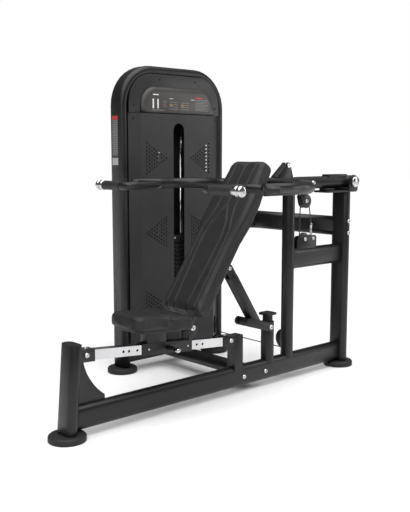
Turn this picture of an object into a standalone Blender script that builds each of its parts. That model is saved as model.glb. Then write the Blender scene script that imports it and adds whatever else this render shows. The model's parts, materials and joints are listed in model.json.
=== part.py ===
# Multi-press weight machine: frame, press arm, weight stack and adjustable seat, one object per piece.
# Numbers are metres measured from the front foot (x back, y towards the weight tower, z up);
# ORIGIN moves them so that the model stands over the middle of its footprint.
import math

import bmesh
import bpy
from mathutils import Vector

for old in list(bpy.data.objects):
    bpy.data.objects.remove(old)

ORIGIN = Vector((0.834, 0.130, 0.0))
GAP = 0.0003            # clearance between pieces that touch
TUBE_W, TUBE_H = 0.050, 0.100   # flat-oval frame tube
ROUND_TUBE = 0.060      # round uprights and lever
ARM_TUBE = 0.050        # yoke tube
ARM_Z = 0.958           # height of lever, yoke and handles
ARM_HALF = 0.4215       # arm centre line from the seat centre line
PIVOT = (1.690, 0.0, ARM_Z)     # press arm pivot
HINGE = (0.622, 0.355)          # back pad hinge on the carriage
LINK = (0.850, 0.590)           # back frame to strut
STRUT = (1.105, 0.288)          # strut foot pivot
TOWER_Y = 0.650
LEG_LEFT, LEG_RIGHT, TOWER_MID = 0.744, 1.382, 1.063
TOWER_TOP = 1.5306
PLATE = 0.0225          # weight plate pitch
UPPER_PLATES, LOWER_PLATES = 11, 9
ARM_PULLEY = (1.378, 0.869)
STRIP_DIR = (0.613, -0.790)     # direction the adjuster strip slides in
RAIL_SLOPE = 0.0887
BACK_ANGLE = math.radians(56.03)

BLACK = ((0.030, 0.030, 0.033, 1), 0.45, 0.0)
RUBBER = ((0.020, 0.020, 0.021, 1), 0.80, 0.0)
CHROME = ((0.75, 0.76, 0.78, 1), 0.15, 1.0)
LEATHER = ((0.040, 0.040, 0.042, 1), 0.55, 0.0)
PLASTIC = ((0.035, 0.035, 0.038, 1), 0.50, 0.0)
IRON = ((0.050, 0.050, 0.055, 1), 0.60, 0.3)
CABLE = ((0.025, 0.025, 0.025, 1), 0.60, 0.0)

body = bpy.data.collections.new("multi_press")
bpy.context.scene.collection.children.link(body)


def rail_z(x):
    return 0.3215 - RAIL_SLOPE * (x - 0.125)


def post_x(z):
    return 0.031 * (z - 0.026) / 0.373


def pad_top(x):
    return 0.4555 - 0.0875 * (x - 0.266)


def back_point(s, perp, y=0.0):
    along = Vector((math.cos(BACK_ANGLE), 0, math.sin(BACK_ANGLE)))
    out = Vector((-math.sin(BACK_ANGLE), 0, math.cos(BACK_ANGLE)))
    return Vector((0.581, y, 0.460)) + along * s + out * perp


def strip_point(s):
    return (ARM_PULLEY[0] - STRIP_DIR[0] * s, ARM_PULLEY[1] - STRIP_DIR[1] * s)


# ---- basic shapes -------------------------------------------------------------------------------

def from_rings(rings, closed=False):
    bm = bmesh.new()
    rows = [[bm.verts.new(p) for p in ring] for ring in rings]
    n = len(rings[0])
    pairs = list(zip(rows, rows[1:]))
    if closed:
        pairs.append((rows[-1], rows[0]))
    for a, b in pairs:
        for i in range(n):
            j = (i + 1) % n
            bm.faces.new((a[i], a[j], b[j], b[i]))
    if not closed:
        bm.faces.new(rows[0][::-1])
        bm.faces.new(rows[-1])
    return to_object(bm)


def face_outwards(bm):
    bmesh.ops.recalc_face_normals(bm, faces=bm.faces)
    if bm.calc_volume(signed=True) < 0:
        bmesh.ops.reverse_faces(bm, faces=bm.faces)


def to_object(bm):
    face_outwards(bm)
    mesh = bpy.data.meshes.new("shape")
    bm.to_mesh(mesh)
    bm.free()
    obj = bpy.data.objects.new("shape", mesh)
    body.objects.link(obj)
    return obj


def point3(axis, u, v, w):
    if axis == "X":
        return (w, u, v)
    if axis == "Y":
        return (u, w, v)
    return (u, v, w)


def prism(outline, axis, lo, hi):
    ends = []
    for end in (lo, hi):
        ends.append([point3(axis, u, v, end(u, v) if callable(end) else end) for u, v in outline])
    return from_rings(ends)


def circle(cu, cv, r, n=24):
    return [(cu + r * math.cos(2 * math.pi * (i + 0.5) / n), cv + r * math.sin(2 * math.pi * (i + 0.5) / n))
            for i in range(n)]


def rod(axis, u, v, r, lo, hi, n=24):
    return prism(circle(u, v, r, n), axis, lo, hi)


def oval(cu, cv, du, dv, n=8):
    # flat oval, long side along v when dv > du
    points = []
    r = min(du, dv) / 2
    shift = abs(dv - du) / 2
    for k, start in ((1, 0.0), (-1, math.pi)):
        for i in range(n + 1):
            a = start + math.pi * i / n
            if dv > du:
                points.append((cu + r * math.cos(a), cv + k * shift + r * math.sin(a)))
            else:
                points.append((cu - k * shift + r * math.cos(a + math.pi / 2), cv + r * math.sin(a + math.pi / 2)))
    return points


def box(x0, x1, y0, y1, z0, z1):
    return prism([(x0, y0), (x1, y0), (x1, y1), (x0, y1)], "Z", z0, z1)


def chamfered(x0, x1, y0, y1, c):
    return [(x0 + c, y0), (x1 - c, y0), (x1, y0 + c), (x1, y1 - c), (x1 - c, y1), (x0 + c, y1), (x0, y1 - c),
            (x0, y0 + c)]


def turned(axis, u, v, profile, n=24):
    # profile runs from one end on the axis to the other: (radius, place along the axis)
    bm = bmesh.new()
    first = bm.verts.new(point3(axis, u, v, profile[0][1]))
    last = bm.verts.new(point3(axis, u, v, profile[-1][1]))
    rows = []
    for r, w in profile[1:-1]:
        rows.append([bm.verts.new(point3(axis, a, b, w)) for a, b in circle(u, v, r, n)])
    for i in range(n):
        j = (i + 1) % n
        bm.faces.new((first, rows[0][i], rows[0][j]))
        bm.faces.new((last, rows[-1][j], rows[-1][i]))
        for a, b in zip(rows, rows[1:]):
            bm.faces.new((a[i], a[j], b[j], b[i]))
    return to_object(bm)


def ring(axis, u, v, inner, outer, lo, hi, n=24):
    rings = []
    for r, w in ((inner, lo), (outer, lo), (outer, hi), (inner, hi)):
        rings.append([point3(axis, a, b, w) for a, b in circle(u, v, r, n)])
    return from_rings(rings, closed=True)


def sweep(path, section, up):
    # section points (side, up) carried along a flat path with mitred corners
    path = [Vector(p) for p in path]
    up = Vector(up)
    rings = []
    for i, p in enumerate(path):
        before = (p - path[i - 1]).normalized() if i else (path[1] - p).normalized()
        after = (path[i + 1] - p).normalized() if i + 1 < len(path) else before
        way = (before + after).normalized()
        side = way.cross(up).normalized() / max(0.3, way.dot(before))
        rings.append([p + side * a + up * b for a, b in section])
    return from_rings(rings)


def wire(path, r, n=8):
    # round section carried along any path
    path = [Vector(p) for p in path]
    way = (path[1] - path[0]).normalized()
    side = way.orthogonal().normalized()
    rings = []
    for i, p in enumerate(path):
        before = (p - path[i - 1]).normalized() if i else way
        after = (path[i + 1] - p).normalized() if i + 1 < len(path) else before
        way = (before + after).normalized()
        side = (side - way * side.dot(way)).normalized()
        up = way.cross(side)
        rings.append([p + side * (r * math.cos(2 * math.pi * k / n)) + up * (r * math.sin(2 * math.pi * k / n))
                      for k in range(n)])
    return from_rings(rings)


def arc(cu, cv, r, start, stop, n):
    return [(cu + r * math.cos(math.radians(start + (stop - start) * i / n)),
             cv + r * math.sin(math.radians(start + (stop - start) * i / n))) for i in range(n + 1)]


def combine(target, tools, operation):
    for tool in tools:
        mod = target.modifiers.new("combine", "BOOLEAN")
        mod.operation = operation
        mod.solver = "EXACT"
        mod.object = tool
        bpy.context.view_layer.update()
        graph = bpy.context.evaluated_depsgraph_get()
        mesh = bpy.data.meshes.new_from_object(target.evaluated_get(graph))
        target.modifiers.remove(mod)
        target.data = mesh
        bpy.data.objects.remove(tool)
    return target


def cut(target, *tools):
    return combine(target, tools, "DIFFERENCE")


def join(target, *tools):
    return combine(target, tools, "UNION")


def piece(name, obj, look, pivot=None):
    # names the piece, puts its origin on its joint (or the model origin) and gives it a material
    centre = Vector(pivot) if pivot else ORIGIN
    bm = bmesh.new()
    bm.from_mesh(obj.data)
    bmesh.ops.remove_doubles(bm, verts=bm.verts, dist=0.000002)
    bmesh.ops.translate(bm, verts=bm.verts, vec=-centre)
    face_outwards(bm)
    mesh = bpy.data.meshes.new(name)
    bm.to_mesh(mesh)
    bm.free()
    obj.data = mesh
    obj.name = name
    obj.location = centre - ORIGIN
    material = bpy.data.materials.new(name + "_material")
    material.use_nodes = True
    shader = material.node_tree.nodes["Principled BSDF"]
    shader.inputs["Base Color"].default_value = look[0]
    shader.inputs["Roughness"].default_value = look[1]
    shader.inputs["Metallic"].default_value = look[2]
    mesh.materials.append(material)
    mesh.shade_smooth()
    mesh.set_sharp_from_angle(angle=math.radians(35))
    return obj


# ---- frame --------------------------------------------------------------------------------------

def feet():
    places = {"foot_front": (0.0, 0.0), "foot_rear": (1.667, 0.0),
              "foot_tower_left": (LEG_LEFT, TOWER_Y), "foot_tower_right": (LEG_RIGHT, TOWER_Y)}
    for name, (x, y) in places.items():
        shape = turned("Z", x, y, [(0, 0), (0.073, 0), (0.075, 0.003), (0.075, 0.020), (0.069, 0.026), (0, 0.026)], 32)
        piece(name, shape, RUBBER)


def floor_frame():
    column_face = 1.642 - GAP
    beam = prism(oval(0, 0.080, TUBE_W, TUBE_H), "X", lambda u, v: post_x(v) + 0.025 + GAP, column_face)
    lug = [(0.020, 0.062), (0.045, 0.062), (0.084, 0.150), (0.084, 0.200), (0.048, 0.200), (0.020, 0.102)]
    piece("main_beam", join(beam, prism(lug, "X", 1.3260, 1.3320)), BLACK)

    foot, top = 0.026 + GAP, 0.376
    outline = oval(0, 0, TUBE_W, TUBE_H)
    post = from_rings([[(post_x(z) + u, v, z) for u, v in outline] for z in (foot, top)])
    web = [(post_x(0.1303) + 0.0200, 0.1303), (0.176, 0.1303), (0.175, 0.150), (0.160, 0.162), (0.142, 0.178),
           (0.124, 0.199), (0.106, 0.225), (0.092, 0.250), (0.083, 0.275), (0.079, 0.292), (0.077, 0.300),
           (post_x(0.300) + 0.0200, 0.300)]
    socket = [(post_x(z) + 0.0200, z) for z in (0.302, 0.352)]
    outline = [socket[0], (0.119, rail_z(0.119) - 0.0245), (0.119, rail_z(0.119) + 0.0245), socket[1]]
    rail_clear = slope_box(0.0662, 0.2, -0.0203, 0.0203, -0.0203, 0.0203)
    post = join(post, prism(web, "Y", -0.005, 0.005), cut(prism(outline, "Y", -0.0248, 0.0248), rail_clear))
    piece("front_post", post, BLACK)

    column = prism(oval(1.667, 0, TUBE_W, TUBE_H), "Z", 0.026 + GAP, 0.906)
    piece("rear_column", column, BLACK)
    plate = prism(chamfered(1.500, 1.735, -0.050, 0.050, 0.008), "Z", 0.906 + GAP, 0.916)
    piece("arm_stop_block", prism(chamfered(1.511, 1.582, -0.022, 0.022, 0.004), "Z", 0.916 + GAP, 0.9276), RUBBER)

    ear = [(1.652, 0.912), (1.721, 0.912), (1.7245, ARM_Z)]
    ear += arc(1.690, ARM_Z, 0.0345, 0, 180, 12)[1:]
    base = prism([(1.652, 0.912), (1.721, 0.912), (1.721, 0.9245), (1.652, 0.9245)], "Y", -0.0595, 0.0595)
    bracket = join(plate, base, prism(ear, "Y", -0.060, -0.0502), prism(ear, "Y", 0.0502, 0.060))
    bracket = cut(bracket, rod("Y", PIVOT[0], ARM_Z, 0.0128, -0.07, 0.07))
    piece("pivot_bracket", bracket, BLACK)
    axle = [(0, -0.075), (0.024, -0.075), (0.027, -0.072), (0.027, -0.0603), (0.0125, -0.0603), (0.0125, 0.0603),
            (0.027, 0.0603), (0.027, 0.072), (0.024, 0.075), (0, 0.075)]
    piece("pivot_shaft", turned("Y", PIVOT[0], ARM_Z, axle, 28), CHROME)


def uprights():
    beam_clear = lambda: prism(oval(0, 0.080, TUBE_W + 2 * GAP, TUBE_H + 2 * GAP), "X", 0.5, 1.6)
    upright = cut(rod("Z", 1.262, 0, ROUND_TUBE / 2, 0.112, 0.905, 28), beam_clear())
    piece("mid_upright", upright, BLACK)
    bumper = [(0, 0.905 + GAP), (0.027, 0.905 + GAP), (0.027, 0.920), (0.022, 0.9277), (0, 0.9277)]
    piece("upright_bumper", turned("Z", 1.262, 0, bumper, 24), RUBBER)

    bar = prism(oval(0, 0.593, TUBE_W, TUBE_H), "X", 1.275, 1.642 - GAP)
    bar = cut(bar, rod("Z", 1.262, 0, ROUND_TUBE / 2 + GAP, 0.5, 0.7, 28))
    cheek = [(1.312, 0.630), (1.457, 0.630), (1.457, 0.690), (1.447, 0.700), (1.330, 0.700), (1.312, 0.680)]
    bar = join(bar, prism(cheek, "Y", -0.014, -0.010), prism(cheek, "Y", 0.010, 0.014))
    bar = join(bar, box(1.416, 1.450, -0.013, 0.013, 0.635, 0.6935))
    piece("crossbar", bar, BLACK)

    post = cut(box(0.881, 0.933, -0.025, 0.025, 0.106, 0.277), beam_clear())
    outline = [(0.8860, rail_z(0.88) - 0.0260), (0.8860, rail_z(0.88) + 0.0240), (0.813, rail_z(0.813) + 0.0245),
               (0.813, rail_z(0.813) - 0.0245)]
    rear = cut(prism(outline, "Y", -0.0248, 0.0248), slope_box(0.7, 0.8763, -0.0203, 0.0203, -0.0203, 0.0203))
    piece("rail_rear_post", join(post, rear), BLACK)

    pedestal = cut(rod("Z", 1.123, 0, 0.031, 0.112, 0.309, 28), beam_clear())
    pedestal = cut(pedestal, rod("Y", STRUT[0], STRUT[1], 0.0078, -0.04, 0.04, 16))
    piece("strut_pedestal", pedestal, BLACK)
    top = join(rod("Z", 1.123, 0, 0.024, 0.309 + GAP, 0.345, 24), box(1.093, 1.153, -0.030, 0.030, 0.340, 0.352))
    piece("pedestal_bumper", top, RUBBER)


def connectors():
    flange = prism(chamfered(0.935, 1.093, 0.056, 0.104, 0.006), "Y", 0.025 + GAP, 0.033)
    tube = join(prism(oval(1.014, 0.080, 0.100, 0.0495), "Y", 0.030, TOWER_Y - 0.025 - GAP), flange)
    base_clear = prism(oval(TOWER_Y, 0.090, TUBE_W + 2 * GAP, TUBE_H + 2 * GAP), "X", 0.9, 1.15)
    piece("floor_connector", cut(tube, base_clear), BLACK)
    path = [(1.667, 0.030, 0.729)]
    path += [(x, y, 0.729) for x, y in arc(1.592, 0.575, 0.075, 0, 90, 10)]
    path += [(LEG_RIGHT + 0.025 + GAP, TOWER_Y, 0.729)]
    tube = sweep(path, oval(0, 0, TUBE_W, TUBE_H), (0, 0, 1))
    column_clear = prism(oval(1.667, 0, TUBE_W + 2 * GAP, TUBE_H + 2 * GAP), "Z", 0.6, 0.85)
    piece("upper_connector", cut(tube, column_clear), BLACK)


# ---- weight tower -------------------------------------------------------------------------------

def tower_shell():
    r = 0.175
    top = TOWER_TOP - 0.025
    path = [(LEG_LEFT, TOWER_Y, 0.026 + GAP)]
    path += [(x, TOWER_Y, z) for x, z in arc(LEG_LEFT + r, top - r, r, 180, 90, 10)]
    path += [(x, TOWER_Y, z) for x, z in arc(LEG_RIGHT - r, top - r, r, 90, 0, 10)]
    path += [(LEG_RIGHT, TOWER_Y, 0.026 + GAP)]
    lug = [(1.338, 0.600), (1.342, 0.600), (1.342, 0.630), (1.3600, 0.630), (1.3600, 0.665), (1.338, 0.665)]
    frame = join(sweep(path, oval(0, 0, TUBE_W, TUBE_H), (0, 1, 0)), prism(lug, "Z", 0.152, 0.184))
    piece("tower_frame", frame, BLACK)
    base = prism(oval(TOWER_Y, 0.090, TUBE_W, TUBE_H), "X", LEG_LEFT + 0.025 + GAP, LEG_RIGHT - 0.025 - GAP)
    piece("tower_base", base, BLACK)

    x0, x1 = 0.7655, 1.3605
    arch = [(x0, 1.297), (x1, 1.297)] + arc(x1 - 0.140, 1.350, 0.140, 0, 90, 8) + arc(x0 + 0.140, 1.350, 0.140, 90, 180, 8)
    piece("header_panel", prism(arch, "Y", 0.596, 0.602), PLASTIC)
    back = [(x0, 0.090), (x1, 0.090)] + arc(x1 - 0.140, 1.350, 0.140, 0, 90, 8) + arc(x0 + 0.140, 1.350, 0.140, 90, 180, 8)
    piece("tower_rear_cover", prism(back, "Y", 0.698, 0.704), PLASTIC)

    rings = []
    for y, inset in ((0.596 - GAP, 0.0), (0.588, 0.006), (0.580, 0.020), (0.578, 0.034)):
        a, b, low, high, c = 0.833 + inset, 1.318 - inset, 1.2975 + inset * 0.2, 1.430 - inset, 0.090 - inset * 0.5
        outline = [(a, low), (b, low)] + arc(b - c, high - c, c, 0, 90, 8) + arc(a + c, high - c, c, 90, 180, 8)
        rings.append([(x, y, z) for x, z in outline])
    piece("placard", from_rings(rings), PLASTIC)

    front = [(0.766, 0.606), (0.821, 0.575), (1.305, 0.575), (1.360, 0.606)]
    inner = [(1.360 - 0.0008, 0.6088), (1.3045, 0.5778), (0.8215, 0.5778), (0.7668, 0.6088)]
    cover = prism(front + inner, "Z", 0.108, 1.296)
    slot = arc(1.064, 1.251 - 0.036, 0.036, 0, 180, 12) + arc(1.064, 0.200 + 0.036, 0.036, 180, 360, 12)
    cover = cut(cover, prism(slot, "Y", 0.56, 0.59))
    cover = cut(cover, prism(arc(1.328, 0.203, 0.012, 0, 180, 8) + arc(1.328, 0.130, 0.012, 180, 360, 8), "Y", 0.56, 0.62))
    piece("tower_front_cover", cover, PLASTIC)


def tower_inside():
    for name, x in (("guide_rod_left", 0.988), ("guide_rod_right", 1.138)):
        piece(name, rod("Z", x, TOWER_Y, 0.011, 0.1405, 1.2897, 20), CHROME)
    bar = box(LEG_LEFT + 0.0255, LEG_RIGHT - 0.0255, 0.630, 0.670, 1.290, 1.310)
    side = [(1.085, 1.300), (1.306, 1.300), (1.306, 1.384), (1.085, 1.384)]
    bar = join(bar, prism(side, "Y", 0.636, 0.640), prism(side, "Y", 0.660, 0.664))
    for x in (1.063, 1.328):
        bar = cut(bar, rod("Z", x, 0.648, 0.008, 1.28, 1.32, 12))
    piece("rod_top_bar", bar, BLACK)

    front, back, left, right = 0.608, 0.692, 0.938, 1.188
    top_of_stack = 0.675
    lift = (TOWER_MID, TOWER_Y, top_of_stack)
    head = prism(chamfered(left, right, front, back, 0.006), "Z", top_of_stack - PLATE + GAP, top_of_stack)
    head = join(head, rod("Z", TOWER_MID, TOWER_Y, 0.008, top_of_stack - 0.001, 0.715, 16))
    for x in (0.988, 1.138):
        head = cut(head, rod("Z", x, TOWER_Y, 0.0122, 0.60, 0.70, 20))
    piece("stack_head", head, IRON, lift)

    def pile(count, high):
        rings = []
        for i in range(count):
            z = high - i * PLATE
            for dz, inset in ((0.0, 0.003), (0.0012, 0.0), (PLATE - 0.0012, 0.0), (PLATE - 0.0001, 0.003)):
                rings.append([(x, y, z - dz) for x, y in
                              chamfered(left + inset, right - inset, front + inset, back - inset, 0.006)])
        shape = from_rings(rings)
        for x in (0.988, 1.138):
            shape = cut(shape, rod("Z", x, TOWER_Y, 0.0122, 0.15, 0.70, 20))
        return shape

    high = top_of_stack - PLATE
    upper = pile(UPPER_PLATES, high)
    pin_z = high - PLATE * (UPPER_PLATES - 0.5)
    upper = cut(upper, rod("Y", TOWER_MID, pin_z, 0.0056, 0.60, 0.645, 12))
    piece("stack_plates_lifted", upper, IRON, lift)
    piece("stack_plates_resting", pile(LOWER_PLATES, high - PLATE * UPPER_PLATES - GAP), IRON)
    pin = [(0, 0.580), (0.012, 0.580), (0.014, 0.583), (0.014, 0.6040), (0.012, 0.6077), (0.005, 0.6077), (0.005, 0.640),
           (0, 0.640)]
    piece("selector_pin", turned("Y", TOWER_MID, pin_z, pin, 16), CHROME, (TOWER_MID, 0.6077, pin_z))


# ---- pulleys and cables -------------------------------------------------------------------------

def pulley(name, axis, u, v, w, rim, groove):
    profile = [(0, w - 0.0097), (0.012, w - 0.0097), (0.012, w - 0.0080), (rim, w - 0.0080), (rim, w - 0.0066),
               (groove, w - 0.0032), (groove, w + 0.0032), (rim, w + 0.0066), (rim, w + 0.0080), (0.012, w + 0.0080),
               (0.012, w + 0.0097), (0, w + 0.0097)]
    piece(name, turned(axis, u, v, profile, 28), PLASTIC, point3(axis, u, v, w))


def pulleys():
    pulley("top_pulley_left", "Y", 1.108, 1.372, TOWER_Y, 0.048, 0.0413)
    pulley("top_pulley_right", "Y", 1.283, 1.372, TOWER_Y, 0.048, 0.0413)
    pulley("exit_pulley", "X", 0.613, 0.168, 1.328, 0.037, 0.0303)
    pulley("lower_pulley", "X", 0.066, 0.181, 1.316, 0.050, 0.043)
    pulley("crossbar_pulley", "Y", 1.372, 0.683, 0.0, 0.032, 0.027)
    pulley("arm_pulley", "Y", ARM_PULLEY[0], ARM_PULLEY[1], 0.0, 0.032, 0.027)


def cables():
    r = 0.0028
    q = 0.0449     # cable centre line around the two top pulleys
    path = [(1.063, TOWER_Y, 1.372)]
    path += [(x, TOWER_Y, z) for x, z in arc(1.108, 1.372, q, 180, 90, 8)][1:]
    path += [(x, TOWER_Y, z) for x, z in arc(1.283, 1.372, q, 90, 0, 8)]
    path += [(1.328, y, z) for y, z in arc(0.613, 0.168, 0.0339, 0, -90, 8)]
    path += [(1.316, y, z) for y, z in arc(0.066, 0.181, 0.0463, -90, -180, 8)]
    path += [(1.316, 0.0197, 0.5480)]
    piece("cable_long", wire(path, r), CABLE)
    piece("cable_stack", rod("Z", 1.063, TOWER_Y, r, 0.7155, 1.3705, 8), CABLE)
    path = [(1.430, 0, 0.6940), (1.430, 0, 0.7595)]
    path += [(x, 0, z) for x, z in arc(ARM_PULLEY[0], ARM_PULLEY[1], 0.030, 0, 180, 14)]
    path += [(1.342, 0, 0.683), (1.342, 0, 0.6440)]
    piece("cable_arm", wire(path, r), CABLE)


# ---- press arm ----------------------------------------------------------------------------------

def slant_box(s0, s1, half_wide, half_y):
    side = Vector((STRIP_DIR[1], -STRIP_DIR[0]))
    corners = []
    for s, k in ((s0, -1), (s1, -1), (s1, 1), (s0, 1)):
        x, z = strip_point(s)
        corners.append((x + side.x * half_wide * k, z + side.y * half_wide * k))
    return prism(corners, "Y", -half_y, half_y)


def lever():
    arm_clear = lambda n: rod("Y", 1.074, ARM_Z, ARM_TUBE / 2 + GAP, -0.05, 0.05, n)
    lever_clear = lambda: rod("X", 0, ARM_Z, ROUND_TUBE / 2 + GAP, 1.0, 1.7, 28)
    tube = cut(rod("X", 0, ARM_Z, ROUND_TUBE / 2, 1.087, 1.685, 28), arm_clear(24))
    tube = cut(tube, slant_box(0.02, 0.24, 0.0146, 0.0044))
    tube = cut(tube, rod("Y", 1.306, 0.962, 0.0056, -0.04, 0.010, 12))
    strap = box(1.535, 1.680, -0.022, 0.022, 0.970, 0.996)
    hub = rod("Y", PIVOT[0], ARM_Z, 0.032, -0.0497, 0.0497, 28)
    tube = cut(join(tube, strap, hub), rod("Y", PIVOT[0], ARM_Z, 0.0129, -0.06, 0.06, 24))
    piece("lever_arm", tube, BLACK, PIVOT)

    outline = [(1.154, 0.975), (1.268, 0.975), (1.268, 1.000)]
    outline += arc(1.2385, 1.042, 0.015, 0, 150, 8)
    front = [(1.154, 0.975), (1.166, 0.975), (1.166, 0.995), (1.2300, 1.046), (1.2255, 1.0495), (1.154, 0.991)]
    horn = join(prism(outline, "Y", -0.018, -0.010), prism(front, "Y", -0.0175, 0.0175), prism(outline, "Y", 0.010, 0.018))
    horn = cut(horn, lever_clear(), slant_box(0.02, 0.30, 0.0146, 0.0044))
    piece("lever_horn", horn, BLACK, PIVOT)

    rings = []
    for radius, y in ((0.0056, -0.094), (0.012, -0.094), (0.012, -0.044), (0.015, -0.044), (0.015, -0.0303),
                      (0.0056, -0.0303)):
        rings.append([(x, y, z) for x, z in circle(1.306, 0.962, radius, 20)])
    housing = from_rings(rings, closed=True)
    piece("adjuster_housing", housing, PLASTIC, PIVOT)
    pin = [(0, -0.124), (0.006, -0.1225), (0.0104, -0.118), (0.012, -0.112), (0.0104, -0.106), (0.005, -0.1015),
           (0.005, -0.0046), (0, -0.0046)]
    piece("adjuster_pin", turned("Y", 1.306, 0.962, pin, 16), CHROME, (1.306, -0.112, 0.962))

    strip = slant_box(0.0455, 0.229, 0.014, 0.004)
    for k in range(-3, 6):
        x, z = strip_point(0.1176 + 0.019 * k)
        strip = cut(strip, rod("Y", x, z, 0.0056, -0.01, 0.01, 12))
    home = (ARM_PULLEY[0], 0, ARM_PULLEY[1])
    piece("adjuster_strip", strip, CHROME, home)

    def cheek(y0, y1):
        side = Vector((STRIP_DIR[1], -STRIP_DIR[0]))
        angle = math.degrees(math.atan2(-STRIP_DIR[1], -STRIP_DIR[0]))
        outline = arc(ARM_PULLEY[0], ARM_PULLEY[1], 0.034, angle + 60, angle + 300, 20)
        for k in (-1, 1):
            x, z = strip_point(0.0457)
            outline.append((x + side.x * 0.018 * k, z + side.y * 0.018 * k))
        return prism(outline, "Y", y0, y1)

    hanger = join(cheek(-0.014, -0.010), slant_box(0.0360, 0.0450, 0.0150, 0.0123), cheek(0.010, 0.014))
    piece("arm_pulley_hanger", hanger, BLACK, home)


def yoke_and_handles():
    r = 0.180
    path = [(0.647, -ARM_HALF, ARM_Z)]
    bow = [(1.0270, 0.225), (1.0340, 0.205), (1.0570, 0.180), (1.0690, 0.163), (1.0740, 0.145)]   # clears the back pad
    path += [(x, y, ARM_Z) for x, y in arc(1.025 - r, -ARM_HALF + r, r, -90, 0, 9)]
    path += [(x, -y, ARM_Z) for x, y in bow]
    path += [(x, y, ARM_Z) for x, y in reversed(bow)]
    path += [(x, y, ARM_Z) for x, y in arc(1.025 - r, ARM_HALF - r, r, 0, 90, 9)]
    path += [(0.647, ARM_HALF, ARM_Z)]
    yoke = sweep(path, circle(0, 0, ARM_TUBE / 2, 20), (0, 0, 1))
    yoke = join(yoke, rod("Y", 0.690, ARM_Z, 0.015, 0.430, 0.465, 20), rod("Y", 0.690, ARM_Z, 0.015, -0.465, -0.430, 20))
    piece("yoke", yoke, BLACK, PIVOT)
    for name, k in (("left", 1), ("right", -1)):
        clear = rod("X", k * ARM_HALF, ARM_Z, ARM_TUBE / 2 + GAP, 0.6, 0.8, 20)
        bend = 0.045
        path = [(0.677, k * 0.406, ARM_Z)]
        path += [(x, k * y, ARM_Z) for x, y in arc(0.677 - bend, 0.240 + bend, bend, 0, -90, 6)]
        path += [(x, k * y, ARM_Z) for x, y in arc(0.488 + bend, 0.240 + bend, bend, -90, -180, 6)]
        path += [(0.488, k * 0.2935, ARM_Z)]
        handle = cut(sweep(path, circle(0, 0, 0.0185, 16), (0, 0, 1)), clear)
        piece("handle_" + name, handle, BLACK, PIVOT)
        grip = [(0, 0.2938), (0.0200, 0.2938), (0.0205, 0.297), (0.0205, 0.412), (0.0200, 0.4155), (0, 0.4155)]
        piece("grip_" + name, turned("Y", 0.488, ARM_Z, [(a, k * b) for a, b in grip], 20), RUBBER, PIVOT)
        end = [(0, 0.4158), (0.0215, 0.4158), (0.0215, 0.4400), (0.0195, 0.4412), (0.0195, 0.4430), (0.0225, 0.4445),
               (0.0225, 0.4560), (0.0195, 0.4610), (0.011, 0.4638), (0, 0.4645)]
        piece("grip_end_" + name, turned("Y", 0.488, ARM_Z, [(a, k * b) for a, b in end], 20), CHROME, PIVOT)


# ---- seat, rail and back ------------------------------------------------------------------------

def slope_box(x0, x1, low, high, y0, y1, ends=None):
    outline = [(x, rail_z(x) + dz) for x, dz in ((x0, low), (x1, low), (x1, high), (x0, high))]
    return prism(outline, "Y", y0, y1)


def rail():
    bar = slope_box(0.0665, 0.8760, -0.020, 0.020, -0.020, 0.020)
    for x in (0.259, 0.287, 0.329, 0.488, 0.653, 0.687):
        bar = cut(bar, rod("Y", x, rail_z(x), 0.0056, -0.03, 0.03, 12))
    piece("slide_rail", bar, CHROME)


def seat():
    home = (0.488, 0, rail_z(0.488))
    sleeve = slope_box(0.354, 0.621, -0.025, 0.025, -0.025, 0.025)
    sleeve = cut(sleeve, slope_box(0.30, 0.70, -0.0204, 0.0204, -0.0204, 0.0204))
    sleeve = cut(sleeve, rod("Y", 0.488, rail_z(0.488), 0.0056, -0.03, -0.015, 12))
    housing = ring("Y", 0.488, rail_z(0.488), 0.0056, 0.011, -0.066, -0.022, 20)
    pin = [(0, -0.100), (0.006, -0.0985), (0.0104, -0.094), (0.012, -0.088), (0.0104, -0.082), (0.005, -0.0775),
           (0.005, -0.0204), (0, -0.0204)]
    piece("seat_pin", turned("Y", 0.488, rail_z(0.488), pin, 16), CHROME, (0.488, -0.088, rail_z(0.488)))

    thick = 0.055
    outline = [(0.378, rail_z(0.378) + 0.0220), (0.479, rail_z(0.479) + 0.0220), (0.479, pad_top(0.479) - thick - 0.006),
               (0.378, pad_top(0.378) - thick - 0.006)]
    stem = prism(outline, "Y", -0.022, 0.022)
    board = chamfered(0.290, 0.530, -0.085, 0.085, 0.020)
    board = prism(board, "Z", lambda u, v: pad_top(u) - thick - 0.0123, lambda u, v: pad_top(u) - thick - GAP)

    half = [(0.266, 0.066), (0.270, 0.082), (0.281, 0.096), (0.300, 0.105), (0.330, 0.105), (0.362, 0.103),
            (0.395, 0.104), (0.420, 0.108), (0.430, 0.118), (0.438, 0.132), (0.450, 0.140), (0.490, 0.141),
            (0.526, 0.140), (0.540, 0.133), (0.545, 0.118)]
    outline = half + [(x, -y) for x, y in reversed(half)]
    rings = []
    for dz, k in ((0.0, 0.955), (0.006, 0.992), (0.014, 1.0), (0.040, 1.0), (0.050, 0.985), (0.055, 0.940)):
        rings.append([(0.405 + (x - 0.405) * k, y * k, pad_top(0.405 + (x - 0.405) * k) - thick + dz) for x, y in outline])
    piece("seat_pad", from_rings(rings), LEATHER, home)

    top = HINGE[1]
    cheek = [(0.600, rail_z(0.600) + 0.0230), (0.6200, rail_z(0.6200) + 0.0230), (0.646, 0.330), (0.646, top)]
    cheek += arc(HINGE[0], top, 0.022, 0, 180, 10)[1:]
    sleeve = join(sleeve, housing, stem, board, prism(cheek, "Y", -0.0283, -0.0203), prism(cheek, "Y", 0.0203, 0.0283))
    piece("carriage", sleeve, BLACK, home)


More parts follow.
